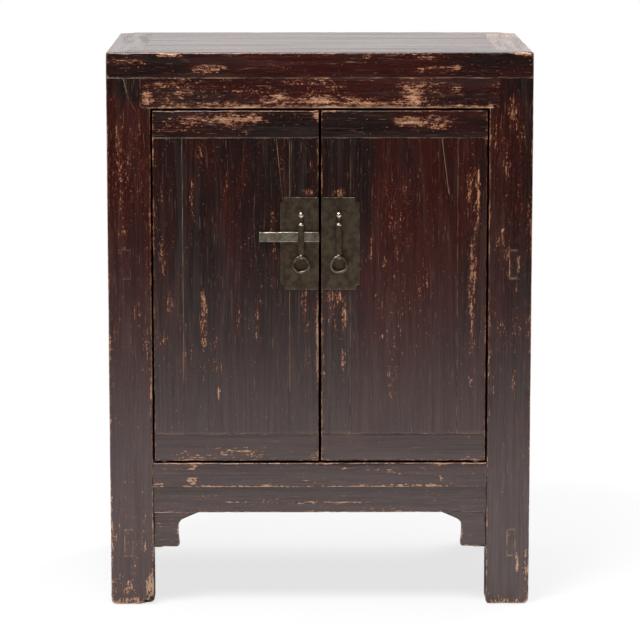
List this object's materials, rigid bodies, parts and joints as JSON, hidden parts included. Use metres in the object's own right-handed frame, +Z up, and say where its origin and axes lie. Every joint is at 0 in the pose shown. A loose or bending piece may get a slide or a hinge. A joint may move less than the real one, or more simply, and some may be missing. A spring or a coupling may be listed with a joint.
{
  "type": "cabinet",
  "caption": "Small low cabinet of worn dark lacquered wood on square feet, with a pair of pivot-hung doors, brass face plates, ring pulls and a sliding lock bar.",
  "frame": {"origin": "on the floor, in the middle of the overall box, handles included", "axes": "+Z up, the doors face -Y, +X to the right of someone facing the doors"},
  "size_m": [0.62, 0.4332, 0.82],
  "materials": {
    "worn_lacquer": "dark brown lacquer, worn through at the edges",
    "bare_wood": "bare aged softwood",
    "aged_brass": "dark tarnished brass"
  },
  "bodies": {
    "carcass": {"door_stop": "bare_wood", "floor_board_1": "bare_wood", "floor_board_2": "bare_wood", "floor_board_3": "bare_wood", "front_apron": "worn_lacquer", "front_sill_rail": "worn_lacquer", "front_upper_rail": "worn_lacquer", "left_front_post": "worn_lacquer", "left_rear_post": "worn_lacquer", "left_side_lower_panel": "worn_lacquer", "left_side_lower_rail": "worn_lacquer", "left_side_middle_rail": "worn_lacquer", "left_side_upper_panel": "worn_lacquer", "left_side_upper_rail": "worn_lacquer", "left_spandrel": "worn_lacquer", "rear_lower_panel": "bare_wood", "rear_lower_rail": "bare_wood", "rear_middle_rail": "bare_wood", "rear_upper_panel": "bare_wood", "rear_upper_rail": "bare_wood", "right_front_post": "worn_lacquer", "right_rear_post": "worn_lacquer", "right_side_lower_panel": "worn_lacquer", "right_side_lower_rail": "worn_lacquer", "right_side_middle_rail": "worn_lacquer", "right_side_upper_panel": "worn_lacquer", "right_side_upper_rail": "worn_lacquer", "right_spandrel": "worn_lacquer", "shelf_board_1": "bare_wood", "shelf_board_2": "bare_wood", "shelf_board_3": "bare_wood", "top_batten": "bare_wood", "top_board_1": "worn_lacquer", "top_board_2": "worn_lacquer", "top_front_rail": "worn_lacquer", "top_left_end": "worn_lacquer", "top_rear_rail": "worn_lacquer", "top_right_end": "worn_lacquer"},
    "left_door": {"left_door_batten": "bare_wood", "left_door_bottom_rail": "worn_lacquer", "left_door_hinge_stile": "worn_lacquer", "left_door_meeting_stile": "worn_lacquer", "left_door_panel": "worn_lacquer", "left_door_plate": "aged_brass", "left_door_staple": "aged_brass", "left_door_top_rail": "worn_lacquer"},
    "left_ring": {"left_door_ring": "aged_brass"},
    "lock_bar": {"lock_bar": "aged_brass"},
    "right_door": {"right_door_batten": "bare_wood", "right_door_bottom_rail": "worn_lacquer", "right_door_hinge_stile": "worn_lacquer", "right_door_meeting_stile": "worn_lacquer", "right_door_panel": "worn_lacquer", "right_door_plate": "aged_brass", "right_door_staple": "aged_brass", "right_door_top_rail": "worn_lacquer"},
    "right_ring": {"right_door_ring": "aged_brass"}
  },
  "joints": [
    {"name": "left_door_hinge", "type": "hinge", "parent": "carcass", "child": "left_door", "pos_m": [-0.2298, -0.19435, 0.2125], "axis": [0, 0, -1], "range_deg": [0, 115]},
    {"name": "right_door_hinge", "type": "hinge", "parent": "carcass", "child": "right_door", "pos_m": [0.2298, -0.19435, 0.2125], "axis": [0, 0, 1], "range_deg": [0, 115]},
    {"name": "lock_bar_slide", "type": "slide", "parent": "left_door", "child": "lock_bar", "axis": [1, 0, 0], "range_m": [0, 0.043]},
    {"name": "left_ring_swing", "type": "hinge", "parent": "left_door", "child": "left_ring", "pos_m": [-0.0275, -0.20975, 0.5225], "axis": [-1, 0, 0], "range_deg": [0, 110]},
    {"name": "right_ring_swing", "type": "hinge", "parent": "right_door", "child": "right_ring", "pos_m": [0.0275, -0.20975, 0.5225], "axis": [-1, 0, 0], "range_deg": [0, 110]}
  ]
}
